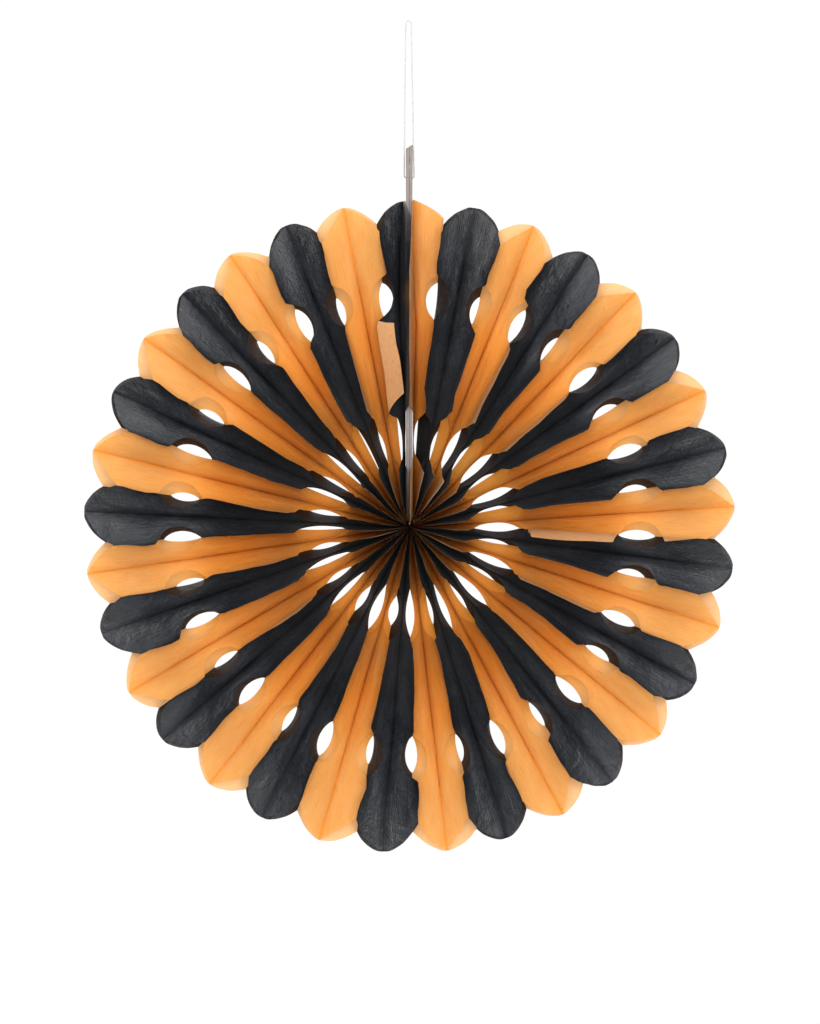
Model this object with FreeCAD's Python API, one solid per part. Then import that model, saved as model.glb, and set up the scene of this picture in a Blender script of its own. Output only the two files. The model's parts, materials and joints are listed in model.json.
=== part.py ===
"""Paper fan medallion: thirty-four alternating orange and black petals of die-cut tissue,
opened into a disc between two card strips that are stuck together at twelve o'clock,
and hung from a loop of thin string.

Frame: millimetres, +Z up, the front of the disc faces -Y, +X to the viewer's right.
Origin: the top of the string loop, where it is hung. The disc's centre is straight below.

How the paper goes: the leaves lie face to face like the pages of a book whose spine is the
disc's axis. Two leaves of one colour are glued together along a narrow strip at mid width
(the crease down the middle of a petal); unlike neighbours are glued together along their
front edges and along their rear edges (the ridges between petals). Opened out, each leaf
bends from the crease out to the front ridge and out to the rear ridge. The die cut gives
each leaf a rounded tip, a round notch and a long notch on each edge.
"""
import FreeCAD, Part
import math
import os

os.makedirs("parts", exist_ok=True)
V = FreeCAD.Vector

# ---------------------------------------------------------------- driving dimensions (mm)
DISC_R = 203.0            # crease tip of a petal: 16 inch disc
CENTRE_Z = -317.0         # disc's centre below the loop's top
PAPER_T = 0.15            # thickness given to a leaf; the tissue itself is about 0.04
LEAF_R0 = 6.0             # inner end of every leaf
WEB_C = 2.0               # half depth of the glued strip at a crease
WALL_F = 21.0             # paper from crease to front ridge
WALL_R = 21.0             # paper from crease to rear ridge
FLAP_F = 11.0             # glued strip standing along a front ridge
FLAP_R = 12.0             # glued strip standing along a rear ridge

CARD_T = 2.1              # one card strip
CARD_GAP = 0.3            # half the thickness of the adhesive between the strips
CARD_FRONT = 24.0         # card edge in front of the mid plane
CARD_REAR = 24.0          # card edge behind the mid plane
CARD_BOTTOM = 8.0         # above the disc's centre
CARD_TOP_RIGHT = 238.0    # above the disc's centre
CARD_TOP_LEFT = 235.6
PAD_BOTTOM, PAD_TOP, PAD_HALF_DEPTH = 30.0, 200.0, 15.0

STRING_D = 0.8
HOLE_Z = 218.0            # string hole above the disc's centre
HOLE_R = 1.6
HOLE_Y = 0.0
LOOP_R = 1.6              # the loop's turn at the top: what it hangs on is about 2.4 thick
THREAD_D = 0.6            # centre thread
THREAD_RING_R = LEAF_R0 - THREAD_D / 2.0

CARD_HALF = CARD_GAP + CARD_T

# Ridges, clockwise degrees from twelve o'clock. RIDGE_F: front edges, RIDGE_R: rear edges.
# The first and the last ridge are the card faces.
RIDGE_F = [0.0, 6.1, 17.6, 26.9, 39.0, 50.0, 60.8, 70.2, 82.0, 92.6, 103.2, 113.9, 124.4,
           135.4, 147.2, 158.0, 168.3, 178.3, 189.9, 201.8, 212.6, 223.8, 234.0, 244.2,
           256.0, 266.3, 277.8, 288.6, 299.4, 310.0, 320.8, 331.5, 342.7, 354.2, 360.0]
RIDGE_R = [0.0, 6.35, 16.8, 28.0, 38.0, 49.5, 59.5, 70.9, 80.7, 92.2, 102.1, 113.75, 124.0,
           135.7, 145.8, 157.4, 167.5, 179.4, 189.85, 201.6, 212.0, 223.8, 234.2, 245.65,
           255.7, 267.1, 277.6, 289.05, 299.2, 310.9, 320.8, 332.5, 342.5, 353.8, 360.0]
# Creases; the first and the last lie close to the cards and are placed apart below.
CREASE = [1.3, 11.6, 22.5, 33.2, 44.0, 54.6, 65.2, 75.9, 86.4, 97.3, 108.0, 118.9, 129.7,
          141.3, 151.9, 162.6, 173.4, 184.7, 196.1, 206.9, 217.9, 229.3, 239.5, 250.9,
          261.7, 272.7, 283.7, 294.5, 305.4, 315.8, 326.6, 337.5, 348.2, 358.6]
N = 34
NAMES = ["petal_%02d_%s" % (i + 1, "orange" if i % 2 == 0 else "black") for i in range(N)]

# Die-cut outline of a leaf: (distance from the centre, how far the paper reaches from the
# crease strip). A reach over the wall's length lies on the flap along the ridge.
LF, LR = WALL_F, WALL_R
TF, TR = WALL_F + FLAP_F, WALL_R + FLAP_R
OUT_F = [(LEAF_R0, TF), (35.6, TF), (39.5, LF), (43.0, 9.0), (48.0, 2.5), (56.6, 1.0),
         (64.5, 2.5), (69.0, 11.0), (72.0, LF), (77.6, TF),
         (129.0, TF), (131.0, LF), (134.0, 14.2), (138.5, 10.2), (144.5, 8.8),
         (150.5, 10.2), (155.0, 14.2), (158.0, LF), (160.0, TF),
         (174.3, TF), (185.0, LF), (191.5, 15.5), (197.0, 9.5), (201.0, 4.0), (DISC_R, 1.0)]
OUT_R = [(LEAF_R0, TR), (36.4, TR), (40.5, LR), (44.5, 14.0), (50.0, 10.8), (56.6, 10.0),
         (63.0, 11.0), (68.0, 15.0), (71.5, LR), (76.6, TR),
         (130.0, TR), (132.5, LR), (137.5, 16.6), (144.5, 14.6), (151.5, 16.6),
         (156.0, LR), (158.6, TR), (188.0, TR), (197.0, LR), (201.0, 15.0), (DISC_R, 9.0)]


# ---------------------------------------------------------------- planes through the axis
def push(theta):
    """Sideways push of the leaves by the cards: full at the cards, none opposite them."""
    if theta <= 180.0:
        x0 = CARD_HALF * (1.0 - theta / 180.0)
    else:
        x0 = -CARD_HALF * (1.0 - (360.0 - theta) / 180.0)
    return x0 * math.cos(math.radians(theta))


def plane(theta, at=194.0):
    """(direction in degrees, sideways offset) of the half plane that reaches the clockwise
    angle theta at the radius at."""
    d = push(theta)
    return theta - math.degrees(math.atan2(d, at)), d


def ridge_planes(table):
    out = [(0.0, CARD_HALF)]
    out += [plane(t) for t in table[1:-1]]
    out.append((360.0, -CARD_HALF))
    return out


PF = ridge_planes(RIDGE_F)
PR = ridge_planes(RIDGE_R)
PC = [plane(t) for t in CREASE]
PC[0] = (0.46, CARD_HALF + 0.20)
PC[-1] = (359.54, -CARD_HALF - 0.20)


def place(pl, r, side, depth):
    """Point at distance r along the plane pl, shifted sideways by side (clockwise), and
    depth in front of the disc's mid plane."""
    a = math.radians(pl[0])
    s = pl[1] + side
    return V(r * math.sin(a) + s * math.cos(a), -depth,
             CENTRE_Z + r * math.cos(a) - s * math.sin(a))


def gap(p, q, r):
    """Sideways distance at r from plane p to plane q, both as (degrees, offset)."""
    a, b = math.radians(p[0]), math.radians(q[0])
    px, pz = r * math.sin(a) + p[1] * math.cos(a), r * math.cos(a) - p[1] * math.sin(a)
    qx, qz = r * math.sin(b) + q[1] * math.cos(b), r * math.cos(b) - q[1] * math.sin(b)
    return math.hypot(px - qx, pz - qz)


def ridge_depth(i, r, planes, wall):
    """Depth of ridge i at r, from the mean spread of the two walls that meet there."""
    spreads = []
    if i > 0:
        spreads.append(gap(PC[i - 1], planes[i], r))
    if i < N:
        spreads.append(gap(planes[i], PC[i], r))
    x = sum(spreads) / len(spreads)
    return WEB_C + math.sqrt(max(wall * wall - x * x, 4.0))


def reach(table, r):
    for (r0, u0), (r1, u1) in zip(table, table[1:]):
        if r0 <= r <= r1:
            return u0 + (u1 - u0) * (r - r0) / (r1 - r0)
    return table[-1][1]


# ---------------------------------------------------------------- one leaf as a solid
def leaf(i, side):
    """Leaf of petal i on its clockwise (side = +1) or anticlockwise (side = -1) half."""
    crease = PC[i]
    k = i + 1 if side > 0 else i
    a = math.radians(crease[0])
    shift = V(side * PAPER_T * math.cos(a), 0, -side * PAPER_T * math.sin(a))
    faces = []

    def face(*pts):
        """The same flat face on the petal side and on the cell side of the sheet."""
        for off in (V(0, 0, 0), shift):
            w = Part.makePolygon([p + off for p in pts] + [pts[0] + off])
            faces.append(Part.Face(w))

    def edge(p, q):
        faces.append(Part.Face(Part.makePolygon([p, q, q + shift, p + shift, p])))

    rims = {}
    for front in (True, False):
        planes, wall, table = (PF, WALL_F, OUT_F) if front else (PR, WALL_R, OUT_R)
        sgn = 1.0 if front else -1.0
        rows = []
        for r, u in table:
            c = place(crease, r, 0.0, sgn * WEB_C)
            # the ridge plane holds the cell side; the petal side is one thickness back
            depth = ridge_depth(k, r, planes, wall)
            root = place(planes[k], r, 0.0, sgn * depth) - shift
            if u < wall - 1e-6:
                wall_pt = c + (root - c) * (u / wall)
                free = None
            else:
                wall_pt = root
                free = None
                if u > wall + 1e-6:
                    free = place(planes[k], r, 0.0, sgn * (depth + u - wall)) - shift
            rows.append((c, wall_pt, free))
        rims[front] = [row[0] for row in rows]
        for (c0, w0, f0), (c1, w1, f1) in zip(rows, rows[1:]):
            face(c0, w0, w1)
            face(c0, w1, c1)
            if f0 is None and f1 is None:
                edge(w0, w1)
        # flaps: each run of rows with a free edge, with the root rows at its ends
        n = len(rows)
        j = 0
        while j < n:
            if rows[j][2] is None:
                j += 1
                continue
            s = j
            while j + 1 < n and rows[j + 1][2] is not None:
                j += 1
            e = j
            lo = s - 1 if s > 0 else s
            hi = e + 1 if e + 1 < n else e
            roots = [rows[m][1] for m in range(lo, hi + 1)]
            frees = [rows[m][2] for m in range(s, e + 1)]
            ring = roots + frees[::-1]
            face(*ring)
            chain = ([roots[0]] if lo < s else []) + frees + ([roots[-1]] if hi > e else [])
            for p, q in zip(chain, chain[1:]):
                edge(p, q)
            j += 1
        # inner end
        c0, w0, f0 = rows[0]
        edge(c0, w0)
        edge(w0, f0)
        c1, w1, f1 = rows[-1]
        edge(c1, w1)
    # the glued strip at the crease
    fr, rr = rims[True], rims[False]
    face(*(fr + rr[::-1]))
    edge(fr[0], rr[0])
    edge(fr[-1], rr[-1])
    shell = Part.Shell(faces)
    if not shell.isClosed():
        shell = Part.makeShell(faces)
        shell.sewShape()
    solid = Part.makeSolid(shell)
    if solid.Volume < 0:
        solid.reverse()
    if not solid.isValid():
        solid.fix(1e-5, 1e-5, 1e-4)
    return solid


# ---------------------------------------------------------------- petals
for i, name in enumerate(NAMES):
    pair = [leaf(i, -1), leaf(i, +1)]
    for s in pair:
        if not (s.isValid() and s.isClosed() and s.Volume > 0):
            print("CHECK", name, s.isValid(), s.isClosed(), s.Volume)
    Part.makeCompound(pair).exportStep("parts/%s.step" % name)

# ---------------------------------------------------------------- card strips and adhesive
depth_len = CARD_FRONT + CARD_REAR


def card(x0, top):
    b = Part.makeBox(CARD_T, depth_len, top - CARD_BOTTOM, V(x0, -CARD_FRONT, CENTRE_Z + CARD_BOTTOM))
    hole = Part.makeCylinder(HOLE_R, CARD_T + 2, V(x0 - 1, HOLE_Y, CENTRE_Z + HOLE_Z), V(1, 0, 0))
    return b.cut(hole)


card(-CARD_HALF, CARD_TOP_LEFT).exportStep("parts/left_card_strip.step")
card(CARD_GAP, CARD_TOP_RIGHT).exportStep("parts/right_card_strip.step")
Part.makeBox(2 * CARD_GAP, 2 * PAD_HALF_DEPTH, PAD_TOP - PAD_BOTTOM,
             V(-CARD_GAP, -PAD_HALF_DEPTH, CENTRE_Z + PAD_BOTTOM)).exportStep("parts/adhesive_strip.step")

# ---------------------------------------------------------------- centre thread
Part.makeTorus(THREAD_RING_R, THREAD_D / 2.0, V(0, 0, CENTRE_Z), V(0, 1, 0)).exportStep(
    "parts/centre_thread.step")

# ---------------------------------------------------------------- hanging string
# One taut string: both ends are held in the cards' hole, and the loop's top is the origin.
zh = CENTRE_Z + HOLE_Z
route = [V(-0.3, HOLE_Y, zh), V(-3.95, HOLE_Y, zh), V(-LOOP_R, HOLE_Y, -STRING_D / 2.0),
         V(LOOP_R, HOLE_Y, -STRING_D / 2.0), V(3.4, HOLE_Y, zh), V(0.3, HOLE_Y, zh)]
radii = [1.2, None, None, 1.2]


def tube(points, bend, dia):
    """Straight runs joined by tangent arcs, swept with a round section."""
    edges, cur = [], points[0]
    for m in range(1, len(points) - 1):
        p, q, s = points[m - 1], points[m], points[m + 1]
        u, v = (p - q), (s - q)
        lu, lv = u.Length, v.Length
        u.normalize()
        v.normalize()
        turn = math.pi - u.getAngle(v)
        r = bend[m - 1]
        if r is None:
            r = 0.499 * min(lu, lv) / math.tan(turn / 2.0)
        t = r * math.tan(turn / 2.0)
        a, b = q + u * t, q + v * t
        w = u + v
        w.normalize()
        mid = q + w * (r / math.cos(turn / 2.0) - r)
        edges.append(Part.makeLine(cur, a))
        edges.append(Part.Arc(a, mid, b).toShape())
        print("string bend", m, "radius %.2f" % r, "turn %.1f" % math.degrees(turn))
        cur = b
    edges.append(Part.makeLine(cur, points[-1]))
    wire = Part.Wire(edges)
    d = points[1] - points[0]
    d.normalize()
    prof = Part.Wire([Part.makeCircle(dia / 2.0, points[0], d)])
    pipe = wire.makePipeShell([prof], True, True)
    print("string length %.1f" % wire.Length)
    return pipe


pipe = tube(route, radii, STRING_D)
if pipe.ShapeType != "Solid":
    pipe = pipe.Solids[0]
if pipe.Volume < 0:
    pipe.reverse()
print("string", pipe.isValid(), pipe.Volume)
pipe.exportStep("parts/hanging_string.step")
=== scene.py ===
"""Looks of the paper fan medallion: thirty-four orange and black petals of die-cut tissue
between two card strips, hung from a loop of string.

Lengths are in millimetres up to put(), which gives metres. A leaf's points are worked out as
(distance from the disc's centre, clockwise degrees from twelve o'clock, depth in front of the
mid plane), the way they line up in a straight-on view from VIEW_D away.
"""
import json
import math

import bmesh
import bpy
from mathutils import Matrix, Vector, noise

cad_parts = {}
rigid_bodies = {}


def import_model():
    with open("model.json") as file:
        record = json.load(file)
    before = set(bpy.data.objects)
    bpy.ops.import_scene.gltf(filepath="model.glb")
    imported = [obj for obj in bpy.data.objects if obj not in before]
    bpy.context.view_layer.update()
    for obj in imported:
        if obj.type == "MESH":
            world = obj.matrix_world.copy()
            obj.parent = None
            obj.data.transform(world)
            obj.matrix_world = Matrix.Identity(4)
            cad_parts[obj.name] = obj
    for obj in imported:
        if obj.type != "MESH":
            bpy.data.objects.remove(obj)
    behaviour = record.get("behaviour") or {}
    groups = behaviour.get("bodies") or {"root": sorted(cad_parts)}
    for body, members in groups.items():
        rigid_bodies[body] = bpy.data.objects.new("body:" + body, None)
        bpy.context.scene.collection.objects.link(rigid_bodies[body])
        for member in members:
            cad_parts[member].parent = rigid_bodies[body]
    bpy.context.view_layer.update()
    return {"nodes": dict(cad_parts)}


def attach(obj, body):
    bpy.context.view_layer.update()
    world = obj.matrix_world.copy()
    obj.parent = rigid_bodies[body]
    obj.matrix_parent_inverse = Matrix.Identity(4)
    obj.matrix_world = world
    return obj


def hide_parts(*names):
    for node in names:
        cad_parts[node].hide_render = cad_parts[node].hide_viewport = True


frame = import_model()

# ---------------------------------------------------------------- cord and camera
CENTRE_Z = -317.0
VIEW_D = 2200.0
AXIS_X, AXIS_Z = 0.3, -307.6          # the view's middle

ROUTE = [(-0.3, 0, -99), (-3.35, 0, -99), (-3.35, 0, -95.35), (-2.4, 0, -5.2), (-2.1, 0, -0.4),
         (1.0, 0, -0.4), (1.1, 0, -5.2), (2.82, 0, -95.9), (2.85, 0, -99), (0.3, 0, -99)]
curve = bpy.data.curves.new("hanging_string_cord", "CURVE")
curve.dimensions = "3D"
spline = curve.splines.new("NURBS")
spline.points.add(len(ROUTE) - 1)
for p, (x, y, z) in zip(spline.points, ROUTE):
    p.co = (x / 1000, y / 1000, z / 1000, 1)
    p.radius = 0.001
spline.order_u = 3
spline.use_endpoint_u = True
spline.resolution_u = 16
curve.bevel_depth = 0.4
curve.bevel_resolution = 5
curve.use_fill_caps = True
cord = bpy.data.objects.new("hanging_string_cord", curve)
bpy.context.scene.collection.objects.link(cord)
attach(cord, "root")
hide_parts("hanging_string")

cam_data = bpy.data.cameras.new("camera")
cam_data.sensor_fit = "VERTICAL"
cam_data.sensor_height = 24.0
cam_data.lens = 24.0 * VIEW_D / 640.0
cam_data.clip_end = 50
cam = bpy.data.objects.new("camera", cam_data)
cam.location = (AXIS_X / 1000, -VIEW_D / 1000, AXIS_Z / 1000)
cam.rotation_euler = (math.pi / 2, 0, 0)
bpy.context.scene.collection.objects.link(cam)
bpy.context.scene.camera = cam
bpy.context.scene.view_settings.view_transform = "Standard"

# ---------------------------------------------------------------- the fan's lines
N = 34
NAMES = ["petal_%02d_%s" % (i + 1, "orange" if i % 2 == 0 else "black") for i in range(N)]
WEB = 2.0                    # half depth of the glued strip at a crease
WALL = 21.0                  # paper from the crease strip to a ridge
CHORD = 20.5                 # the same, straight across, because the paper curves
FLAP_F, FLAP_R = 11.0, 12.0
GLUE = 0.04                  # each leaf's distance from the middle of a glued strip
CARD_SIDE = (2.05, 2.35)     # outer faces of the right and the left card strip

BASE = [0.0, 6.35, 16.8, 28.0, 38.0, 49.5, 59.5, 70.9, 80.7, 92.2, 102.1, 113.75, 124.0,
        135.7, 145.8, 157.4, 167.5, 179.4, 189.85, 201.6, 212.0, 223.8, 234.2, 245.65,
        255.7, 267.1, 277.6, 289.05, 299.2, 310.9, 320.8, 332.5, 342.5, 353.8, 360.0]
CREASE = [1.3, 11.6, 22.5, 33.2, 44.0, 54.6, 65.2, 75.9, 86.4, 97.3, 108.0, 118.9, 129.7,
          141.3, 151.9, 162.6, 173.4, 184.7, 196.1, 206.9, 217.9, 229.3, 239.5, 250.9,
          261.7, 272.7, 283.7, 294.5, 305.4, 315.8, 326.6, 337.5, 348.2, 358.6]
# How far clockwise of BASE the front flap's free edge stands, in degrees, at these radii.
LEAN_R = [15.0, 28.1, 34.5, 87.5, 125.0, 165.6, 180.0]
LEAN = {
    1: (10.4, 9.1, 8.8, -0.3, 0.6, -0.4, -0.2), 2: (10.2, 9.6, 9.3, 2.3, 2.2, 0.6, 1),
    3: (10.8, 10.4, 9.6, 3.1, 1.8, -1.8, -0.9), 4: (6.2, 5.7, 5.2, 1.6, 1.9, 0.9, 1.1),
    5: (3.4, 3.7, 3.7, 2, 1.2, 0.6, 0.3), 6: (1.4, 2.9, 3.3, 1, 1.8, 1.2, 1.2),
    7: (2.2, 3.2, 2.4, -1, -0.2, -0.9, -0.7), 8: (3.4, 4.1, 3, 0.8, 1.6, 1.2, 1.2),
    9: (0.4, 1.7, 1.5, 2.8, 2, 0.8, 0.2), 10: (3.8, 3.8, 2.6, 1, 2.1, 0.9, 1.1),
    11: (1.6, 2.9, 1.9, 1.2, 1.2, 0.2, -0.2), 12: (3.6, 4, 2.6, -0.3, 1.2, 0.2, 0.6),
    13: (-0.2, 1.5, 1.1, -1.1, -0.5, -0.5, -0.2), 14: (-0.6, 1.2, 1.4, -0.5, 1.1, 1.3, 1.5),
    15: (-0.6, 1.4, 0.8, -2.8, -0.5, 0.7, 0.2), 16: (0.6, 2, 1.4, -0.8, 0.3, 0.6, 1),
    17: (0, 0.6, -0.2, -1.3, -0.6, -1.5, -1.1), 18: (-0.8, -0.4, -0.2, 0.2, 1, -0.4, 0.5),
    19: (1.2, 1.6, 0.8, -0.3, -0.2, 0.3, 0.1), 20: (1.1, 1.8, 1.8, -0.7, 0.6, 0.3, 0.8),
    21: (-3.6, 0, 0.1, -0.9, -0.3, 0.2, -0.2), 22: (0.8, 1, 0.6, -1.5, 0.1, -0.6, 0),
    23: (-3.4, -0.3, 0, -1.7, -0.6, -1.7, -1), 24: (-2.6, -0.1, 0.6, -0.6, 0.5, 0, 0.6),
    25: (-4.5, -2.2, -0.5, 0, 0.2, -1.2, -0.8), 26: (-2.2, 0.3, 0.2, -1.2, 0.6, -0.2, 0.5),
    27: (-1.6, 1.3, 1, -0.6, 0.1, -0.8, -0.3), 28: (0.2, 1.6, 1.8, -0.2, 1, -0.1, 0.6),
    29: (-2.4, 0.2, 0.2, -1, -0.5, -1.3, -0.7), 30: (-3.8, -1.4, -1, -0.3, 0.7, -0.5, 0.2),
    31: (-6.8, -4.8, -3.6, -3.1, -1.5, -1.6, -0.8), 32: (-9.4, -5.9, -4.6, -2.1, -0.8, -0.3, 0.3),
    33: (-11, -7, -5, 4.1, 2.6, 0.8, 0.4)}
# The flap of ridge 33 lies flat over the black petal.
FLAT_R = [15.0, 28.1, 34.5, 58.0, 70.0, 82.0, 87.5, 125.0, 165.6, 180.0]
FLAT = (-11.0, -7.0, -5.0, -2.0, 5.9, 5.1, 4.6, 2.6, 0.8, 0.4)
# Edges of the long and of the round openings, in degrees from BASE (anticlockwise, clockwise).
LONG = {
    1: (-3.4, -2.7), 2: (-1.9, .1), 3: (-2.9, 1.9), 4: (-3.1, -1.3), 5: (-4.6, 1.2), 6: (-3.8, -1.8),
    7: (-5.2, .8), 8: (-4.3, -2.2), 9: (-5.1, .7), 10: (-3.9, -1.4), 11: (-4.1, .8), 12: (-3.3, -1.2),
    13: (-3.3, 2.2), 14: (-2.4, .1), 15: (-2.3, 1.8), 16: (-2.9, -.3), 17: (-2.5, 3.1), 18: (-2.2, 4.2),
    19: (-2.7, 3.6), 20: (-.9, 3.8), 21: (0, 3.5), 22: (.1, 3.6), 23: (.4, 3.8), 24: (.1, 3.5),
    25: (1.2, 3.6), 26: (.6, 3.8), 27: (1.7, 4.3), 28: (.8, 2.9), 29: (-.2, 2.3), 30: (-.8, 1.4),
    31: (-.6, .4), 32: (-1.6, .6), 33: (-.7, 1.3)}
ROUND = {
    1: (-2.2, .5), 2: (-1.2, .6), 3: (-1.4, 1.4), 4: (-1, .5), 5: (-1.8, 1.3), 6: (-1.5, .3),
    7: (-1.9, 1), 8: (-1.4, .2), 9: (-1.5, 1), 10: (-1.4, .3), 11: (-1.7, 1.2), 12: (-1.5, .5),
    13: (-1.3, 1.6), 14: (-.8, .9), 15: (-1.6, 1.2), 16: (-1.2, .5), 17: (-1.3, 1.7), 18: (-.6, 1.1),
    19: (-1.4, 1.8), 20: (-.8, 1.1), 21: (-1.1, 2), 22: (-.6, 1.2), 23: (-.9, 1.8), 24: (-.3, 1.1),
    25: (-.7, 1.9), 26: (-1, 1.1), 27: (-.5, 1.8), 28: (-.5, 1.2), 29: (-.8, 1.6), 30: (-.9, 1),
    31: (-1.4, 1.8), 32: (-.9, 1), 33: (-1.4, 2.1)}


def smooth(a, b, x):
    t = min(1.0, max(0.0, (x - a) / (b - a)))
    return t * t * (3 - 2 * t)


def lerp_table(xs, ys, x):
    if x <= xs[0]:
        return ys[0]
    for x0, x1, y0, y1 in zip(xs, xs[1:], ys, ys[1:]):
        if x <= x1:
            return y0 + (y1 - y0) * (x - x0) / (x1 - x0)
    return ys[-1]


def pchip(xs, ys, x):
    """Smooth curve through a table that never overshoots it."""
    n = len(xs)
    if x <= xs[0]:
        return ys[0]
    if x >= xs[-1]:
        return ys[-1]
    k = 0
    while x > xs[k + 1]:
        k += 1

    def slope(j):
        return (ys[j + 1] - ys[j]) / (xs[j + 1] - xs[j])

    def tangent(j):
        if j == 0 or j == n - 1:
            return slope(0 if j == 0 else n - 2)
        a, b = slope(j - 1), slope(j)
        return 0.0 if a * b <= 0 else 2 * a * b / (a + b)

    h = xs[k + 1] - xs[k]
    t = (x - xs[k]) / h
    m0, m1 = tangent(k), tangent(k + 1)
    return ((2 * t ** 3 - 3 * t * t + 1) * ys[k] + (t ** 3 - 2 * t * t + t) * h * m0
            + (-2 * t ** 3 + 3 * t * t) * ys[k + 1] + (t ** 3 - t * t) * h * m1)


def push(theta):
    """Sideways push of the leaves by the cards: full at the cards, none opposite them."""
    if theta <= 180.0:
        x0 = 2.4 * (1.0 - theta / 180.0)
    else:
        x0 = -2.4 * (1.0 - (360.0 - theta) / 180.0)
    return x0 * math.cos(math.radians(theta))


def fade(r):
    """The push dies away towards the centre, where the leaves are gathered to a point."""
    return smooth(0.0, 9.0, r)


def beside(r):
    """The first and the last leaf close round the lower ends of the cards."""
    return 0.02 + 0.98 * smooth(0.0, 7.0, r)


def line_at(theta, r):
    d = push(theta)
    return theta - math.degrees(math.atan2(d, 194.0)) + math.degrees(math.atan2(d * fade(r), r))


def crease_at(i, r):
    wave = 0.10 * noise.noise(Vector((r / 38.0, i * 7.7, 3.1)))
    if i == 0:
        x = lerp_table([0, 45, 70, 90, 110, 126, 142, 160, 194, 205],
                       [2.25, 2.25, 2.35, 2.6, 3.6, 4.0, 3.0, 2.7, 2.3, 2.2], r)
        return math.degrees(math.atan2(x * beside(r), r)) + wave * 0.1
    if i == N - 1:
        x = lerp_table([0, 45, 70, 90, 120, 142, 173, 190, 205],
                       [2.55, 2.7, 2.9, 3.6, 5.6, 6.4, 6.2, 4.8, 3.75], r)
        return 360.0 - math.degrees(math.atan2(x * beside(r), r)) + wave * 0.1
    return line_at(CREASE[i], r) + wave


def rear_root_at(k, r):
    if k == 0:
        return math.degrees(math.atan2(CARD_SIDE[0] * beside(r), r))
    if k == N:
        return 360.0 - math.degrees(math.atan2(CARD_SIDE[1] * beside(r), r))
    a = line_at(BASE[k], r)
    # the rear ridge stands in the middle of the long opening that it bounds
    mid = BASE[k] + 0.5 * (LONG[k][0] + LONG[k][1])
    w = smooth(8, 44, r) * (1 - smooth(62, 110, r))
    return a + 0.75 * w * (mid - a)


def free_at(k, r):
    """Where the front flap's free edge is seen."""
    radii, turn = (FLAT_R, FLAT) if k == 33 else (LEAN_R, LEAN[k])
    return BASE[k] + lerp_table(radii, turn, r) + 0.16 * noise.noise(Vector((r / 21.0, k * 3.3, 0.0)))


def front_root_at(k, r):
    if k == 0:
        return math.degrees(math.atan2(CARD_SIDE[0] * beside(r), r))
    if k == N:
        return 360.0 - math.degrees(math.atan2(CARD_SIDE[1] * beside(r), r))
    a = line_at(BASE[k], r)
    w = lerp_table([0, 28, 87, 125, 160, 178, 185], [0.30, 0.25, 0.30, 0.35, 0.6, 0.9, 1.0], r)
    if k == 33:
        w = lerp_table([0, 28, 58, 70, 98, 127, 150, 178, 185], [0.3, 0.2, 0.2, -0.42, -0.50, -0.92, 0.5, 0.9, 1.0], r)
    if k == 9:
        w = lerp_table([0, 28, 70, 130, 160, 178, 185], [0.3, 0.2, -0.45, -0.10, 0.0, 0.6, 1.0], r)
    return a + w * (free_at(k, r) - a)


def spread(k, r, root):
    xs = []
    a = root(k, r)
    if k > 0:
        xs.append(math.radians(a - crease_at(k - 1, r)) * r)
    if k < N:
        xs.append(math.radians(crease_at(k, r) - a) * r)
    return sum(xs) / len(xs)


def depth_at(k, r, root):
    x = spread(k, r, root)
    return WEB + math.sqrt(max(CHORD * CHORD - x * x, 9.0))


def flap_lean(k, r, front):
    """Sideways reach of a flap's free edge from its root, in mm clockwise."""
    if not front:
        return 1.6 * noise.noise(Vector((r / 60.0, k * 5.1, 9.0))) + 0.9 * math.sin(math.radians(BASE[k]))
    if k == 0:      # over the cards' edges, except near the centre
        return lerp_table([0, 3, 8, 26, 34, 40, 58, 68, 130, 158, 173, 194, 205],
                          [-0.05, -0.9, -1.9, -1.4, -1.0, -0.8, -0.7, -2.1, -2.2, -2.2, -1.4, -0.8, -0.3], r)
    if k == N:
        return lerp_table([0, 3, 8, 26, 34, 40, 58, 68, 130, 158, 173, 194, 205],
                          [0.05, 0.6, 0.5, 0.6, 0.8, 0.8, 0.8, 2.1, 2.2, 2.2, 3.05, 3.5, 3.6], r)
    return math.radians(free_at(k, r) - front_root_at(k, r)) * r


def put(r, polar, depth, off=0.0):
    """Metres from (r, clockwise degrees, depth in front), moved off mm clockwise."""
    a = math.radians(polar)
    sn, cs = math.sin(a), math.cos(a)
    x = r * sn + off * cs
    z = CENTRE_Z + r * cs - off * sn
    s = (VIEW_D - depth) / VIEW_D
    return Vector(((AXIS_X + (x - AXIS_X) * s) / 1000, -depth / 1000, (AXIS_Z + (z - AXIS_Z) * s) / 1000))


# ---------------------------------------------------------------- the die-cut outline
BEND = 0.50


def across(t):
    """How far sideways a wall has gone at the share t of its paper."""
    return (1 - BEND) * t + BEND * (3 * t * t - 2 * t ** 3)


def across_inverse(f):
    lo, hi = 0.0, 1.0
    for _ in range(24):
        m = 0.5 * (lo + hi)
        if across(m) < f:
            lo = m
        else:
            hi = m
    return 0.5 * (lo + hi)


def rising(t):
    return 1.20 * t - 0.20 * (3 * t * t - 2 * t ** 3)


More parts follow.
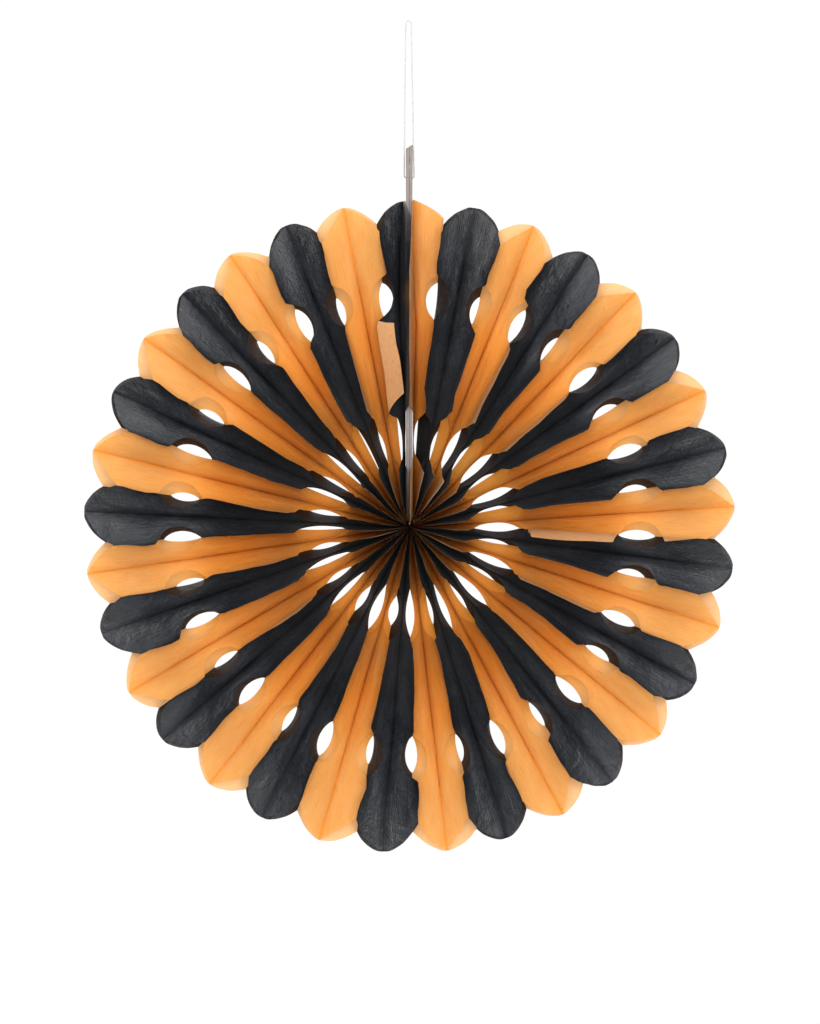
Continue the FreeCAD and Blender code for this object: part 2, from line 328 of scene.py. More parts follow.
# Radius of the tip across a petal's half, from crease (0) to ridge (1), in mm.
TIP_AT = [0.0, 0.15, 0.3, 0.6, 0.8, 1.0]
TIP_REAR = {("o", -1): [203.7, 203.3, 202.4, 199.6, 196.8, 193.2],
            ("o", +1): [203.7, 203.1, 201.7, 197.9, 194.4, 190.6],
            ("k", -1): [203.6, 203.4, 202.2, 198.6, 195.0, 190.4],
            ("k", +1): [203.6, 203.6, 203.0, 200.2, 197.4, 193.2]}
TIP_FRONT = {("o", -1): [203.2, 200.6, 197.8, 192.6, 188.8, 184.6],
             ("o", +1): [203.2, 201.6, 199.8, 195.0, 191.0, 185.6],
             ("k", -1): [203.2, 201.8, 199.8, 195.6, 191.4, 185.2],
             ("k", +1): [203.2, 202.2, 200.6, 196.8, 192.8, 185.6]}

NW = 11        # columns across a wall
NF = 4         # columns across a flap
STEP = 1.9     # rows, in mm
TIP_FROM = 161.0
TIP_ROWS = 22


def leaf(i, side, verts, faces, uvs):
    """Adds the leaf on the clockwise (+1) or anticlockwise (-1) half of petal i."""
    k = i + 1 if side > 0 else i
    colour = "o" if i % 2 == 0 else "k"
    card = k in (0, N)
    seed = i * 2 + (side > 0)

    def jit(j, amount):
        return amount * noise.noise(Vector((seed * 13.37, j * 4.21, 0.7)))

    base = BASE[k]
    halves = {}
    for front in (True, False):
        root = front_root_at if front else rear_root_at
        flap = (FLAP_F if front else FLAP_R) + 0.35 * noise.noise(Vector((k * 9.1, 1.7 if front else 6.3, 0.4)))

        def share(r, target):
            """Share of the wall that reaches to the seen angle target at r."""
            c, a = crease_at(i, r), root(k, r)
            f = (target - c) / (a - c)
            return across_inverse(min(0.985, max(0.02, f)))

        if front:
            j1, j2 = jit(3, 0.9), jit(4, 0.9)
            dl = 0.06 if not card else 0.3
            slant = 3.4 if k in (1, 2) else 2.0
            long_tab = ([37.6 + j1 + slant * .5, 41.5 + j1 + slant * .5, 46.6, 54.0, 62.0, 68.0 + j2 * .5, 72.2 + j2],
                        [1.0, 0.52, 0.16 + dl, 0.05 + dl, 0.14 + dl, 0.50, 1.0])
            long_start = long_tab[0][0]
            j3, j4 = jit(5, 0.8), jit(6, 0.8)
            c = 0.44 + jit(7, 0.06) if not card else 0.98
            round_tab = ([130.4 + j3, 133.6, 138.0, 144.4, 150.8, 155.2, 158.2 + j4],
                         [1.0, 0.5 * (1 + c) - 0.03, c + 0.06, c, c + 0.06, 0.5 * (1 + c) - 0.03, 1.0])
            ends = [(long_start - slant - 0.6, long_start), ((83.0 if k == 33 else 76.8 + j2), 72.2 + j2),
                    (127.6 + j3, 130.4 + j3), (159.6 + j4, 158.2 + j4)]
            if card:    # over the cards' edges the flap runs on past the round opening
                ends[2] = (144.0, 144.2)
                ends[3] = (144.6, 144.4)
                round_tab = ([144.25, 144.35], [1.0, 1.0])
        else:
            odd = k % 2 == 1
            lo, hi = (38.75, 68.75) if odd else (43.75, 62.5)
            m = 0.5 * (lo + hi)
            if card:
                cl = 0.45
                cr = 0.62
            else:
                cl = share(51.5, base + LONG[k][0 if side > 0 else 1])
                cr = share(141.25, base + ROUND[k][0 if side > 0 else 1])
            q = 0.5 * (hi - lo)
            long_tab = ([m + q * t for t in (-1, -.85, -.6, -.3, 0, .3, .6, .85, 1)],
                        [1 - (1 - cl) * (1 - t * t) ** 0.85 for t in (-1, -.85, -.6, -.3, 0, .3, .6, .85, 1)])
            lo2, hi2 = (130.6, 153.6) if odd else (132.6, 150.2)
            m2, q2 = 0.5 * (lo2 + hi2), 0.5 * (hi2 - lo2)
            round_tab = ([m2 + q2 * t for t in (-1, -.9, -.7, -.4, 0, .4, .7, .9, 1)],
                         [1 - (1 - cr) * (1 - t * t) ** 0.62 for t in (-1, -.9, -.7, -.4, 0, .4, .7, .9, 1)])
            lo += jit(3, 0.3)
            ends = [(m - q - 2.6, m - q), (m + q + 3.0, m + q), (m2 - q2 - 2.0, m2 - q2), (m2 + q2 + 1.6, m2 + q2)]
        halves[front] = dict(root=root, flap=flap, long=long_tab, round=round_tab, ends=ends)

    # rows shared by both halves
    keys = {0.05, 1.0, TIP_FROM}
    for h in halves.values():
        for a, b in h["ends"]:
            keys.update((round(a, 3), round(b, 3)))
        keys.update(round(x, 3) for x in h["long"][0][1:-1:2])
        keys.update(round(x, 3) for x in h["round"][0][1:-1:2])
    keys = sorted(x for x in keys if x <= TIP_FROM)
    rows = []
    for a, b in zip(keys, keys[1:]):
        n = max(1, round((b - a) / STEP))
        rows += [a + (b - a) * j / n for j in range(n)]
    rows.append(TIP_FROM)
    kept = [rows[0]]
    ends_all = {round(x, 3) for h in halves.values() for e in h["ends"] for x in e}
    for r in rows[1:]:
        if r - kept[-1] < 0.35:
            if round(r, 3) in ends_all and round(kept[-1], 3) not in ends_all:
                kept[-1] = r
            continue
        kept.append(r)
    rows = kept
    flat = len(rows)

    def reach(h, r):
        """Share of the wall left at r, and the share of the flap's width left."""
        for tab in (h["long"], h["round"]):
            if tab[0][0] <= r <= tab[0][-1]:
                return min(1.0, pchip(tab[0], tab[1], r)), 0.0
        (a0, b0), (a1, b1), (a2, b2), (a3, b3) = h["ends"]
        if a0 < r < b0:
            return 1.0, (b0 - r) / (b0 - a0)
        if b1 < r < a1:
            return 1.0, (r - b1) / (a1 - b1)
        if a2 < r < b2:
            return 1.0, (b2 - r) / (b2 - a2)
        if b3 < r < a3:
            return 1.0, (r - b3) / (a3 - b3)
        return 1.0, 1.0

    def wall_point(front, r, t, lift=True):
        h = halves[front]
        c, a = crease_at(i, r), h["root"](k, r)
        d = depth_at(k, r, h["root"])
        f, g = across(t), rising(t)
        polar = c + (a - c) * f
        # soft puckers, none at the glued strips
        room = math.sin(math.pi * min(1, max(0, t))) ** 0.7
        big = noise.noise(Vector((r / 30.0, t * 1.6, seed * 5.3 + (0 if front else 50))))
        fine = noise.noise(Vector((r / 9.0, t * 4.5, seed * 2.9 + (0 if front else 50))))
        radial = noise.noise(Vector((r / 55.0, t * 9.0, seed * 3.7 + (0 if front else 50))))
        amp = 0.25 + 0.75 * smooth(20, 90, r)
        depth = WEB + (d - WEB) * g + room * amp * (1.15 * big + 0.40 * fine + 0.45 * radial)
        off = -side * (0.02 + (GLUE - 0.02) * t)
        sgn = 1 if front else -1
        return put(r, polar, sgn * depth, off)

    def flap_point(front, r, v):
        h = halves[front]
        a = h["root"](k, r)
        d = depth_at(k, r, h["root"])
        width = h["flap"] + 0.35 * noise.noise(Vector((r / 14.0, k * 2.3, 4.0 if front else 5.0)))
        s = flap_lean(k, r, front)
        s = max(-0.97 * width, min(0.97 * width, s))
        deep = math.sqrt(width * width - s * s)
        wave = 0.40 * noise.noise(Vector((r / 12.0, k * 6.1, v * 1.2))) * v
        tilt = s / width
        gap = side * (GLUE + 0.03 * v * abs(tilt))
        off = s * (0.45 * v + 0.55 * v * v) + wave * smooth(3, 30, r) - gap * math.sqrt(1 - tilt * tilt)
        sgn = 1 if front else -1
        return put(r, a, sgn * (d + v * deep + gap * tilt), off)

    def add(p, u, r):
        verts.append(p)
        uvs.append((u / 100.0, r / 100.0))
        return len(verts) - 1

    def quad(a, b, c, d):
        q = []
        for x in (a, b, c, d):
            if x not in q:
                q.append(x)
        if len(q) >= 3:
            faces.append(q if side > 0 else q[::-1])

    grids = {}
    for front in (True, False):
        h = halves[front]
        sg = 1 if front else -1
        grid, flaps = [], []
        for r in rows:
            w, fl = reach(h, r)
            ids = [add(wall_point(front, r, w * c / NW), sg * (WEB + WALL * w * c / NW), r) for c in range(NW + 1)]
            grid.append(ids)
            if fl > 1e-6:
                flaps.append([ids[-1]] + [add(flap_point(front, r, fl * c / NF), sg * (WEB + WALL + h["flap"] * fl * c / NF), r)
                                          for c in range(1, NF + 1)])
            elif w > 0.9999:
                flaps.append([ids[-1]] * (NF + 1))
            else:
                flaps.append(None)
        # the tip: rows run out to the rounded end
        tab = (TIP_FRONT if front else TIP_REAR)[(colour, side)]
        if card and front:
            tab = [204.0] * 6 if side > 0 else [204.6] * 6
        if i == 0 and side > 0:
            tab = [204.6, 203.3, 201.9, 198.8, 196.4, 193.2] if front else [204.7, 203.5, 202.2, 199.4, 197.2, 194.0]
        free_r = tab[-1] - (10.6 if front else 7.0)
        if card and front:
            free_r = 193.6 if side > 0 else 203.6
        wob = jit(9, 0.5)
        for j in range(1, TIP_ROWS + 1):
            q = j / TIP_ROWS
            q = 1 - (1 - q) ** 1.25
            ids = []
            for c in range(NW + 1):
                t = c / NW
                end = pchip(TIP_AT, tab, across(t)) + wob * across(t) + 0.25 * noise.noise(Vector((t * 6, seed * 1.9, 2.0 + sg)))
                end = end if c else (204.6 if i == 0 else 203.6)
                r = TIP_FROM + (end - TIP_FROM) * q
                ids.append(add(wall_point(front, r, t), sg * (WEB + WALL * t), r))
            grid.append(ids)
            fl_ids = [ids[-1]]
            end0 = tab[-1] + wob
            for c in range(1, NF + 1):
                v = c / NF
                end = end0 + (free_r - end0) * v
                r = TIP_FROM + (end - TIP_FROM) * q
                fl_ids.append(add(flap_point(front, r, v), sg * (WEB + WALL + h["flap"] * v), r))
            flaps.append(fl_ids)
        # faces
        for A, B in zip(grid, grid[1:]):
            for c in range(NW):
                q = (A[c], A[c + 1], B[c + 1], B[c])
                quad(*(q if front else q[::-1]))
        for A, B in zip(flaps, flaps[1:]):
            if A is None or B is None:
                continue
            for c in range(NF):
                q = (A[c], A[c + 1], B[c + 1], B[c])
                quad(*(q if front else q[::-1]))
        grids[front] = grid
    # the glued strip at the crease
    mid = []
    for j, (A, B) in enumerate(zip(grids[True], grids[False])):
        p = 0.5 * (verts[A[0]] + verts[B[0]])
        mid.append(add(p, 0.0, uvs[A[0]][1] * 100))
    for j in range(len(mid) - 1):
        for col, flip in ((grids[True], True), (grids[False], False)):
            q = (mid[j], col[j][0], col[j + 1][0], mid[j + 1])
            quad(*(q if flip else q[::-1]))


def piece_from(name, verts, faces, uvs):
    mesh = bpy.data.meshes.new(name)
    mesh.from_pydata([tuple(v) for v in verts], [], faces)
    layer = mesh.uv_layers.new(name="paper")
    for loop in mesh.loops:
        layer.data[loop.index].uv = uvs[loop.vertex_index]
    mesh.shade_smooth()
    mesh.set_sharp_from_angle(angle=math.radians(32))
    ob = bpy.data.objects.new(name, mesh)
    bpy.context.scene.collection.objects.link(ob)
    return ob


# ---------------------------------------------------------------- materials
def nodes_of(name):
    m = bpy.data.materials.new(name)
    m.use_nodes = True
    t = m.node_tree
    t.nodes.clear()
    return m, t


def node(t, kind, **values):
    n = t.nodes.new(kind)
    for key, val in values.items():
        if key.startswith("_"):
            setattr(n, key[1:], val)
        else:
            n.inputs[key.replace("_", " ")].default_value = val
    return n


def mix_colour(t, fac, a, b, blend="MIX"):
    n = t.nodes.new("ShaderNodeMix")
    n.data_type = "RGBA"
    n.blend_type = blend
    for sock, val in ((n.inputs[0], fac), (n.inputs[6], a), (n.inputs[7], b)):
        if hasattr(val, "is_linked") or isinstance(val, bpy.types.NodeSocket):
            t.links.new(val, sock)
        else:
            sock.default_value = val
    return n.outputs[2]


def ramp(t, value, lo, hi, out_lo=0.0, out_hi=1.0):
    n = t.nodes.new("ShaderNodeMapRange")
    n.interpolation_type = "SMOOTHSTEP"
    t.links.new(value, n.inputs["Value"])
    n.inputs["From Min"].default_value = lo
    n.inputs["From Max"].default_value = hi
    n.inputs["To Min"].default_value = out_lo
    n.inputs["To Max"].default_value = out_hi
    return n.outputs["Result"]


def calc(t, op, a, b=None):
    n = t.nodes.new("ShaderNodeMath")
    n.operation = op
    for sock, val in zip(n.inputs, (a, b)):
        if val is None:
            continue
        if isinstance(val, bpy.types.NodeSocket):
            t.links.new(val, sock)
        else:
            sock.default_value = val
    return n.outputs[0]


def noise_tex(t, vec, scale, detail=4.0, rough=0.55, stretch=None, distortion=0.0, shift=(0, 0, 0)):
    if stretch or any(shift):
        mp = t.nodes.new("ShaderNodeMapping")
        mp.inputs["Scale"].default_value = stretch or (1, 1, 1)
        mp.inputs["Location"].default_value = shift
        t.links.new(vec, mp.inputs["Vector"])
        vec = mp.outputs[0]
    n = t.nodes.new("ShaderNodeTexNoise")
    t.links.new(vec, n.inputs["Vector"])
    n.inputs["Scale"].default_value = scale
    n.inputs["Detail"].default_value = detail
    n.inputs["Roughness"].default_value = rough
    n.inputs["Distortion"].default_value = distortion
    return n.outputs["Fac"]


def tissue(name, orange):
    m, t = nodes_of(name)
    out = t.nodes.new("ShaderNodeOutputMaterial")
    uv = t.nodes.new("ShaderNodeUVMap")
    uv.uv_map = "paper"
    coord = t.nodes.new("ShaderNodeTexCoord")
    info = t.nodes.new("ShaderNodeObjectInfo")
    sep = t.nodes.new("ShaderNodeSeparateXYZ")
    t.links.new(uv.outputs[0], sep.inputs[0])
    u, r = sep.outputs[0], sep.outputs[1]
    au = calc(t, "ABSOLUTE", u)
    on_flap = ramp(t, au, 0.2285, 0.2325)
    # offset nodes for the paper coordinates; they are removed again at the end, so the noise runs on plain object
    # coordinates
    vec = t.nodes.new("ShaderNodeVectorMath")
    vec.operation = "ADD"
    comb = t.nodes.new("ShaderNodeCombineXYZ")
    t.links.new(coord.outputs["Object"], vec.inputs[0])
    t.links.new(comb.outputs[0], vec.inputs[1])
    obj = coord.outputs["Object"]
    streak = noise_tex(t, uv.outputs[0], 7.0, 5, 0.6, stretch=(14, 0.9, 1))
    fibre = noise_tex(t, uv.outputs[0], 30.0, 4, 0.6, stretch=(9, 1.2, 1))
    mottled = noise_tex(t, obj, 42.0, 5, 0.6)
    fine = noise_tex(t, obj, 420.0, 4, 0.65)
    crumple = noise_tex(t, obj, 120.0, 3, 0.5, distortion=0.6)
    if orange:
        # painted light: from r = 175 mm in to r = 105 mm the paper turns to a brighter, redder orange, standing in for
        # the light that reaches deep into the fan
        outer = mix_colour(t, ramp(t, streak, 0.35, 0.70), (0.755, 0.362, 0.108, 1), (0.735, 0.308, 0.063, 1))
        within_painted_light = mix_colour(t, ramp(t, streak, 0.35, 0.70), (0.96, 0.36, 0.055, 1), (0.95, 0.30, 0.035, 1))
        c = mix_colour(t, ramp(t, r, 1.05, 1.75), within_painted_light, outer)
        # deep: the colour of the painted shade along the creases
        deep = (0.84, 0.275, 0.016, 1)
        c = mix_colour(t, ramp(t, mottled, 0.35, 0.75, 0.0, 0.30), c, (0.84, 0.46, 0.17, 1))
        # painted light: at the rear leaves' outer ends, where one layer of paper stands against the bright back, the
        # paper is given a paler colour for the light shining through it
        backlit_glow = calc(t, "MULTIPLY", ramp(t, u, -0.030, -0.018, 1.0, 0.0), ramp(t, r, 1.25, 1.80, 0.0, 0.75))
        c = mix_colour(t, backlit_glow, c, (0.77, 0.455, 0.235, 1))
        # painted shade: along each crease the paper is darkened to a deep orange, for the shade and the coloured
        # bounce light in the fold
        near_crease = ramp(t, au, 0.012, 0.050, 1.0, 0.0)
        c = mix_colour(t, calc(t, "MULTIPLY", near_crease, 0.86), c, deep)
        # painted shade: towards the gathered centre the paper turns a deeper orange, for the shade among the close
        # folds
        painted_centre_shade = ramp(t, r, 0.10, 0.62, 0.55, 0.0)
        c = mix_colour(t, painted_centre_shade, c, (0.93, 0.30, 0.040, 1))
        c = mix_colour(t, ramp(t, fine, 0.45, 0.75, 0.0, 0.22), c, (0.80, 0.36, 0.09, 1))
        # glued strips: paler, streaked, with grey smudges
        smudge = ramp(t, noise_tex(t, uv.outputs[0], 16.0, 5, 0.7, stretch=(5, 1.6, 1), shift=(3, 1, 0)), 0.50, 0.66)
        pale = mix_colour(t, calc(t, "MULTIPLY", smudge, 0.72), (0.70, 0.385, 0.19, 1), (0.34, 0.23, 0.165, 1))
        c = mix_colour(t, calc(t, "MULTIPLY", on_flap, 0.75), c, pale)
        # painted highlight: a pale line along the flaps' free edges inside r = 95 mm
        edge = calc(t, "MULTIPLY", ramp(t, au, 0.316, 0.330), ramp(t, r, 0.40, 0.95, 0.85, 0.0))
        c = mix_colour(t, edge, c, (0.98, 0.62, 0.38, 1))
        through_out = mix_colour(t, ramp(t, streak, 0.3, 0.75), (0.92, 0.45, 0.115, 1), (0.90, 0.38, 0.070, 1))
        through_in = mix_colour(t, ramp(t, streak, 0.3, 0.75), (0.98, 0.42, 0.075, 1), (0.97, 0.35, 0.045, 1))
        through = mix_colour(t, ramp(t, r, 1.05, 1.75), through_in, through_out)
        through = mix_colour(t, backlit_glow, through, (0.86, 0.50, 0.23, 1))
        rough, spec = 0.58, 0.14
    else:
        c = mix_colour(t, ramp(t, streak, 0.35, 0.70), (0.0065, 0.0072, 0.0092, 1), (0.0100, 0.0108, 0.0138, 1))
        c = mix_colour(t, ramp(t, mottled, 0.40, 0.75, 0.0, 0.5), c, (0.018, 0.0195, 0.025, 1))
        c = mix_colour(t, ramp(t, fine, 0.50, 0.78, 0.0, 0.35), c, (0.042, 0.044, 0.053, 1))
        # painted shade: towards the centre the black is darkened further, for the shade deep among the folds
        painted_centre_shade = ramp(t, r, 0.20, 1.35, 0.90, 0.0)
        c = mix_colour(t, painted_centre_shade, c, (0.0035, 0.0035, 0.0042, 1))
        through = (0.006, 0.005, 0.005, 1)
        rough, spec = 0.44, 0.46
    p = t.nodes.new("ShaderNodeBsdfPrincipled")
    t.links.new(c, p.inputs["Base Color"])
    p.inputs["Specular IOR Level"].default_value = spec
    rn = ramp(t, mottled, 0.3, 0.7, rough - 0.07, rough + 0.09)
    rn = calc(t, "ADD", rn, ramp(t, r, 0.60, 1.40, 0.45, 0.0))
    rn = calc(t, "MINIMUM", rn, 1.0)
    t.links.new(rn, p.inputs["Roughness"])
    # crinkles: long thin ones along the folds, small crumples, and the paper's own grain
    h = calc(t, "MULTIPLY", streak, 0.42 if orange else 0.30)
    h = calc(t, "ADD", h, calc(t, "MULTIPLY", fibre, 0.20 if orange else 0.12))
    h = calc(t, "ADD", h, calc(t, "MULTIPLY", crumple, 0.60 if orange else 0.80))
    h = calc(t, "ADD", h, calc(t, "MULTIPLY", fine, 0.16 if orange else 0.28))
    bump = t.nodes.new("ShaderNodeBump")
    bump.inputs["Strength"].default_value = 0.62 if orange else 0.85
    bump.inputs["Distance"].default_value = 0.0012 if orange else 0.0014
    t.links.new(h, bump.inputs["Height"])
    t.links.new(bump.outputs[0], p.inputs["Normal"])
    if orange:
        tr = t.nodes.new("ShaderNodeBsdfTranslucent")
        t.links.new(through, tr.inputs["Color"])
        t.links.new(bump.outputs[0], tr.inputs["Normal"])
        mx = t.nodes.new("ShaderNodeMixShader")
        t.links.new(ramp(t, r, 0.25, 1.70, 0.66, 0.38), mx.inputs[0])
        t.links.new(p.outputs[0], mx.inputs[1])
        t.links.new(tr.outputs[0], mx.inputs[2])
        t.links.new(mx.outputs[0], out.inputs[0])
    else:
        t.links.new(p.outputs[0], out.inputs[0])
    t.nodes.remove(info)
    t.nodes.remove(vec)
    t.nodes.remove(comb)
    return m


ORANGE = tissue("orange_tissue_paper", True)
BLACK = tissue("black_tissue_paper", False)


def board():
    m, t = nodes_of("greyboard_strip")
    out = t.nodes.new("ShaderNodeOutputMaterial")
    coord = t.nodes.new("ShaderNodeTexCoord")
    obj = coord.outputs["Object"]
    layers = noise_tex(t, obj, 900.0, 3, 0.6, stretch=(1.0, 0.10, 0.03))
    fibre = noise_tex(t, obj, 260.0, 5, 0.7)
    speck = noise_tex(t, obj, 1400.0, 3, 0.6)
    c = mix_colour(t, ramp(t, layers, 0.35, 0.7), (0.215, 0.180, 0.166, 1), (0.160, 0.133, 0.125, 1))
    c = mix_colour(t, ramp(t, fibre, 0.4, 0.75, 0.0, 0.55), c, (0.255, 0.220, 0.190, 1))
    place = t.nodes.new("ShaderNodeSeparateXYZ")
    t.links.new(obj, place.inputs[0])
    # painted shadow: the card's lower end, deep among the leaves, is darkened nearly to black
    painted_low_shade = ramp(t, place.outputs[2], -0.317, -0.245, 0.92, 0.0)
    c = mix_colour(t, painted_low_shade, c, (0.026, 0.024, 0.024, 1))
    c = mix_colour(t, ramp(t, speck, 0.62, 0.72, 0.0, 0.6), c, (0.20, 0.17, 0.16, 1))
    p = t.nodes.new("ShaderNodeBsdfPrincipled")
    t.links.new(c, p.inputs["Base Color"])
    t.links.new(ramp(t, fibre, 0.3, 0.7, 0.78, 0.95), p.inputs["Roughness"])
    p.inputs["Specular IOR Level"].default_value = 0.2
    bump = t.nodes.new("ShaderNodeBump")
    bump.inputs["Strength"].default_value = 0.5
    bump.inputs["Distance"].default_value = 0.0004
    t.links.new(calc(t, "ADD", layers, calc(t, "MULTIPLY", fibre, 0.8)), bump.inputs["Height"])
    t.links.new(bump.outputs[0], p.inputs["Normal"])
    t.links.new(p.outputs[0], out.inputs[0])
    return m


def yarn(name, dark, pale, turns, rough):
    m, t = nodes_of(name)
    out = t.nodes.new("ShaderNodeOutputMaterial")
    coord = t.nodes.new("ShaderNodeTexCoord")
    obj = coord.outputs["Object"]
    wave = t.nodes.new("ShaderNodeTexWave")
    wave.bands_direction = "DIAGONAL"
    wave.inputs["Scale"].default_value = turns
    wave.inputs["Distortion"].default_value = 1.2
    wave.inputs["Detail"].default_value = 2.0
    t.links.new(obj, wave.inputs["Vector"])
    fuzz = noise_tex(t, obj, 3200.0, 3, 0.6)
    c = mix_colour(t, wave.outputs["Fac"], dark, pale)
    c = mix_colour(t, ramp(t, fuzz, 0.4, 0.7, 0.0, 0.35), c, dark)
    p = t.nodes.new("ShaderNodeBsdfPrincipled")
    t.links.new(c, p.inputs["Base Color"])
    t.links.new(ramp(t, fuzz, 0.3, 0.7, rough - 0.08, rough + 0.08), p.inputs["Roughness"])
    bump = t.nodes.new("ShaderNodeBump")
    bump.inputs["Strength"].default_value = 0.6
    bump.inputs["Distance"].default_value = 0.00015
    t.links.new(wave.outputs["Fac"], bump.inputs["Height"])
    t.links.new(bump.outputs[0], p.inputs["Normal"])
    t.links.new(p.outputs[0], out.inputs[0])
    return m


def glue():
    m, t = nodes_of("adhesive_film")
    out = t.nodes.new("ShaderNodeOutputMaterial")
    coord = t.nodes.new("ShaderNodeTexCoord")
    n = noise_tex(t, coord.outputs["Object"], 180.0, 4, 0.6)
    # painted shade: the adhesive, pale in itself, is given a dark grey-brown so that the narrow gap where it shows
    # reads as a shadow
    c = mix_colour(t, ramp(t, n, 0.4, 0.7), (0.26, 0.245, 0.215, 1), (0.19, 0.175, 0.15, 1))
    p = t.nodes.new("ShaderNodeBsdfPrincipled")
    t.links.new(c, p.inputs["Base Color"])
    t.links.new(ramp(t, n, 0.3, 0.7, 0.35, 0.55), p.inputs["Roughness"])
    bump = t.nodes.new("ShaderNodeBump")
    bump.inputs["Strength"].default_value = 0.4
    bump.inputs["Distance"].default_value = 0.0003
    t.links.new(n, bump.inputs["Height"])
    t.links.new(bump.outputs[0], p.inputs["Normal"])
    t.links.new(p.outputs[0], out.inputs[0])
    return m


STRING = yarn("white_string", (0.44, 0.44, 0.44, 1), (0.54, 0.54, 0.54, 1), 900.0, 0.80)
THREAD = yarn("dark_thread", (0.02, 0.018, 0.018, 1), (0.07, 0.06, 0.06, 1), 1200.0, 0.7)
BOARD = board()
curve.materials.append(STRING)


def dress(name, material):
    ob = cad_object(name)
    if not ob.material_slots:
        ob.data.materials.append(material)
    for s in ob.material_slots:
        s.material = material


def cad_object(name):
    entry = frame["nodes"][name]
    if isinstance(entry, bpy.types.Object):
        return entry
    return bpy.data.objects[entry["object"] if isinstance(entry, dict) and "object" in entry else name]


dress("adhesive_strip", glue())
dress("centre_thread", THREAD)


def card_piece(name, side):
    """A card strip with softened, slightly uneven edges and a torn-looking top."""
    bm = bmesh.new()
    top_in, top_out = (235.4, 236.5) if side > 0 else (235.2, 234.1)
    half_y, rad = 23.9, 0.32
    rows = [2.4 + (232.0 - 2.4) * j / 150 for j in range(151)] + [233.2, 234.2, 1e9]
    rings = []
    for j, r in enumerate(rows):
        z_in, z_out = (r, r) if r < 1e8 else (top_in, top_out)
        g = 0.004 + 0.11 * math.exp(-((min(r, 240) - 225.5) / 3.0) ** 2)
        face = lerp_table([0, 60, 190, 210, 225, 240], [1.9, 1.9, 1.9, 1.72, 1.95, 2.05], r) if side > 0 else 2.2
        narrow = beside(min(r, 240))
        face, g, half_rad = face * narrow, g * narrow, rad * narrow
        face += 0.05 * noise.noise(Vector((r / 9.0, side * 3.0, 1.0)))
        pts = []
        corners = [(g + half_rad, -half_y + rad, 180), (face - half_rad, -half_y + rad, 270),
                   (face - half_rad, half_y - rad, 0), (g + half_rad, half_y - rad, 90)]
        for cx, cy, a0 in corners:
            for q in range(4):
                a = math.radians(a0 + 30 * q)
                pts.append((cx + half_rad * math.cos(a), cy + rad * math.sin(a)))
            if a0 == 270 or a0 == 90:
                x, y = pts[-1]
                for m in range(1, 12):
                    pts.append((x, y + (half_y - rad) * 2 * m / 12 * (1 if a0 == 270 else -1)))
        ring = []
        for m, (x, y) in enumerate(pts):
            w = (x - g) / (face - g)
            fuzz = 0.07 * noise.noise(Vector((r / 1.7, y / 3.0, x * 2.0))) if r < 1e8 else 0.0
            z = z_in + (z_out - z_in) * w
            if r > 1e8:
                z += 0.35 * noise.noise(Vector((x * 1.9, y / 2.3, side * 5.0)))
            front = -1 if y < -half_y + rad else 0
            ring.append(bm.verts.new((side * x / 1000, (y + front * -fuzz) / 1000, (CENTRE_Z + z) / 1000)))
        rings.append(ring)
    for A, B in zip(rings, rings[1:]):
        for m in range(len(A)):
            n = (m + 1) % len(A)
            bm.faces.new((A[m], A[n], B[n], B[m]) if side > 0 else (A[m], B[m], B[n], A[n]))
    bm.faces.new(rings[0][::-1] if side > 0 else rings[0])
    bm.faces.new(rings[-1] if side > 0 else rings[-1][::-1])
    mesh = bpy.data.meshes.new(name + "_board")
    bm.normal_update()
    bm.to_mesh(mesh)
    bm.free()
    ob = bpy.data.objects.new(name + "_board", mesh)
    bpy.context.scene.collection.objects.link(ob)
    # the string's hole
    cut = bpy.data.meshes.new("hole_cutter")
    bm = bmesh.new()
    bmesh.ops.create_cone(bm, cap_ends=True, segments=40, radius1=0.0016, radius2=0.0016, depth=0.02)
    bm.to_mesh(cut)
    bm.free()
    tool = bpy.data.objects.new("hole_cutter", cut)
    tool.rotation_euler = (0, math.pi / 2, 0)
    tool.location = (0, 0, -0.099)
    bpy.context.scene.collection.objects.link(tool)
    mod = ob.modifiers.new("hole", "BOOLEAN")
    mod.operation = "DIFFERENCE"
    mod.object = tool
    bpy.context.view_layer.update()
    dg = bpy.context.evaluated_depsgraph_get()
    new = bpy.data.meshes.new_from_object(ob.evaluated_get(dg))
    ob.modifiers.clear()
    ob.data = new
    bpy.data.objects.remove(tool)
    new.shade_smooth()
    new.set_sharp_from_angle(angle=math.radians(40))
    new.materials.clear()
    new.materials.append(BOARD)
    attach(ob, "root")
    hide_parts(name)
    return ob


card_piece("left_card_strip", -1)
card_piece("right_card_strip", 1)


for i, name in enumerate(NAMES):
    verts, faces, uvs = [], [], []
    leaf(i, -1, verts, faces, uvs)
    leaf(i, +1, verts, faces, uvs)
    ob = piece_from(name + "_tissue", verts, faces, uvs)
    ob.data.materials.append(ORANGE if i % 2 == 0 else BLACK)
    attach(ob, "root")
    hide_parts(name)

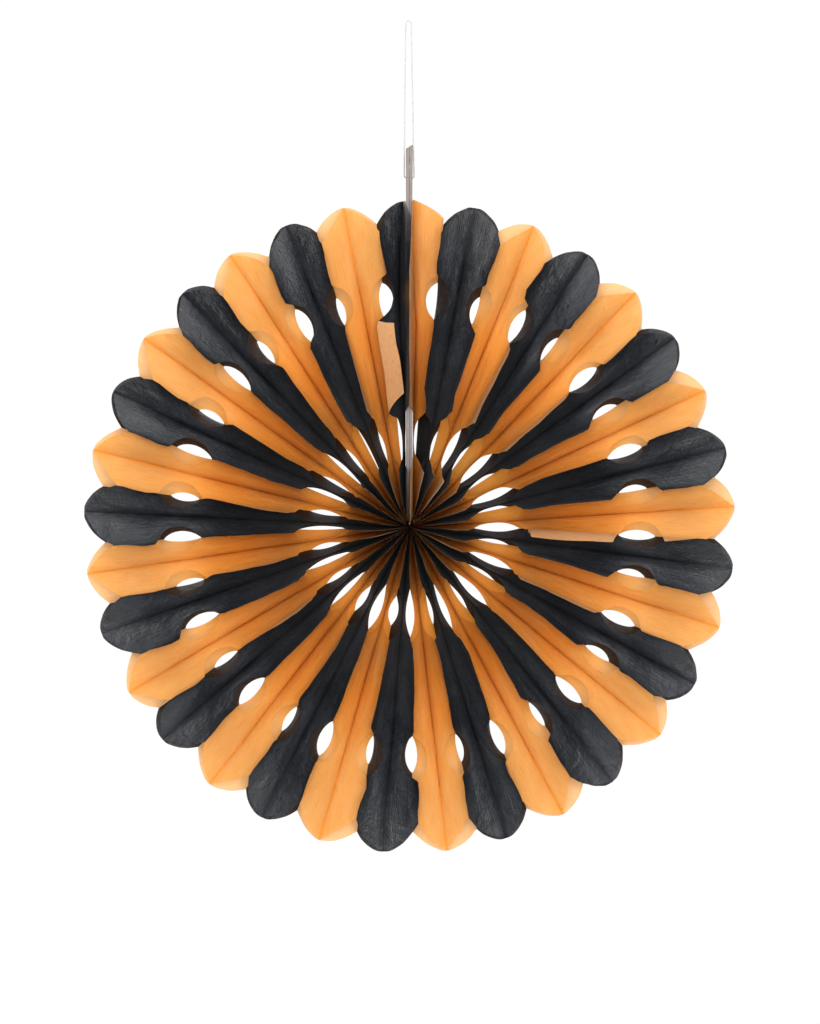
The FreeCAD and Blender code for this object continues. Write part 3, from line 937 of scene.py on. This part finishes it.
# ---------------------------------------------------------------- floor and light
mesh = bpy.data.meshes.new("floor")
bm = bmesh.new()
bmesh.ops.create_grid(bm, x_segments=4, y_segments=4, size=0.78)
bm.to_mesh(mesh)
bm.free()
floor = bpy.data.objects.new("floor", mesh)
floor.location = (0, 0, -1.15)
bpy.context.scene.collection.objects.link(floor)
m, t = nodes_of("pale_floor")
out = t.nodes.new("ShaderNodeOutputMaterial")
p = t.nodes.new("ShaderNodeBsdfPrincipled")
coord = t.nodes.new("ShaderNodeTexCoord")
n = noise_tex(t, coord.outputs["Object"], 3.0, 3, 0.5)
t.links.new(mix_colour(t, n, (0.80, 0.80, 0.79, 1), (0.84, 0.84, 0.83, 1)), p.inputs["Base Color"])
p.inputs["Roughness"].default_value = 0.8
t.links.new(p.outputs[0], out.inputs[0])
mesh.materials.append(m)

world = bpy.data.worlds.new("studio")
bpy.context.scene.world = world
world.use_nodes = True
t = world.node_tree
t.nodes.clear()
out = t.nodes.new("ShaderNodeOutputWorld")
coord = t.nodes.new("ShaderNodeTexCoord")
sep = t.nodes.new("ShaderNodeSeparateXYZ")
t.links.new(coord.outputs["Generated"], sep.inputs[0])
seen = t.nodes.new("ShaderNodeBackground")
seen.inputs["Color"].default_value = (1, 1, 1, 1)
seen.inputs["Strength"].default_value = 1.02
soft = t.nodes.new("ShaderNodeBackground")
soft.inputs["Color"].default_value = (0.90, 0.95, 1.0, 1)
behind = ramp(t, sep.outputs[1], 0.22, 0.85, 0.0, 1.50)
above = ramp(t, sep.outputs[2], -0.02, 0.70, 0.010, 1.22)
t.links.new(calc(t, "ADD", behind, above), soft.inputs["Strength"])
path = t.nodes.new("ShaderNodeLightPath")
mx = t.nodes.new("ShaderNodeMixShader")
t.links.new(path.outputs["Is Camera Ray"], mx.inputs[0])
t.links.new(soft.outputs[0], mx.inputs[1])
t.links.new(seen.outputs[0], mx.inputs[2])
t.links.new(mx.outputs[0], out.inputs[0])


def area(name, place, aim, size, power, colour=(1, 1, 1)):
    data = bpy.data.lights.new(name, "AREA")
    data.shape = "RECTANGLE"
    data.size, data.size_y = size
    data.energy = power
    data.color = colour
    ob = bpy.data.objects.new(name, data)
    ob.location = place
    d = Vector(aim) - Vector(place)
    ob.rotation_euler = d.to_track_quat("-Z", "Y").to_euler()
    bpy.context.scene.collection.objects.link(ob)


area("key", (-0.10, -0.62, 0.54), (0, 0, -0.25), (1.0, 0.5), 4.0, (1.0, 0.99, 0.975))
area("fill", (0.1, -2.6, -0.2), (0, 0, -0.3), (1.8, 1.4), 97.0, (1.0, 0.99, 0.98))

# ---------------------------------------------------------------- update
bpy.context.view_layer.update()
